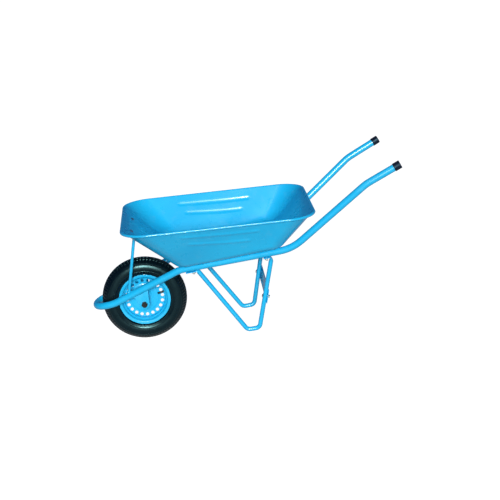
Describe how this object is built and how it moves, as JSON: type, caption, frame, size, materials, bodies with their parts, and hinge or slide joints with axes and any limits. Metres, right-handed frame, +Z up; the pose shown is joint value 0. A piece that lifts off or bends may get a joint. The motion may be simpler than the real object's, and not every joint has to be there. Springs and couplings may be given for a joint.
{
  "type": "wheelbarrow",
  "caption": "Builder's wheelbarrow with a pressed steel tray, a bent tube frame that loops round a pneumatic front wheel, and bent tube legs.",
  "frame": {"origin": "on the ground under the middle of the barrow's length and width, standing on its wheel and legs", "axes": "+Z up, +X from the wheel towards the handles, +Y towards the right side of a person pushing it"},
  "size_m": [1.4214, 0.668, 0.6763],
  "materials": {
    "blue_paint": "glossy sky blue enamel",
    "zinc_steel": "zinc plated",
    "black_plastic": "moulded",
    "tyre_rubber": "moulded tread and sidewall",
    "tube_rubber": "smooth"
  },
  "bodies": {
    "frame": {"frame_tube": "blue_paint", "handle_cap_left": "black_plastic", "handle_cap_right": "black_plastic", "axle_bracket_left": "blue_paint", "axle_bracket_right": "blue_paint", "tray": "blue_paint", "rim_wire": "zinc_steel", "tray_stay_left": "blue_paint", "tray_stay_right": "blue_paint", "stay_bolts": "zinc_steel", "stay_washers": "zinc_steel", "stay_nuts": "zinc_steel", "leg_left": "blue_paint", "leg_right": "blue_paint", "leg_brace": "blue_paint", "brace_bolts": "zinc_steel", "brace_nuts": "zinc_steel", "tray_bolts": "zinc_steel", "tray_washers": "zinc_steel", "tray_nuts": "zinc_steel", "axle": "zinc_steel", "axle_nuts": "zinc_steel", "axle_washers": "blue_paint", "axle_spacers": "zinc_steel"},
    "wheel": {"wheel_hub": "blue_paint", "hub_bush_left": "black_plastic", "hub_bush_right": "black_plastic", "wheel_disc": "blue_paint", "wheel_rim": "blue_paint", "tyre": "tyre_rubber", "inner_tube": "tube_rubber", "valve_stem": "tube_rubber", "valve_cap": "black_plastic"}
  },
  "joints": [
    {"name": "wheel_spin", "type": "hinge", "parent": "frame", "child": "wheel", "pos_m": [-0.47786, 0, 0.19], "axis": [0, -1, 0], "continuous": true}
  ]
}
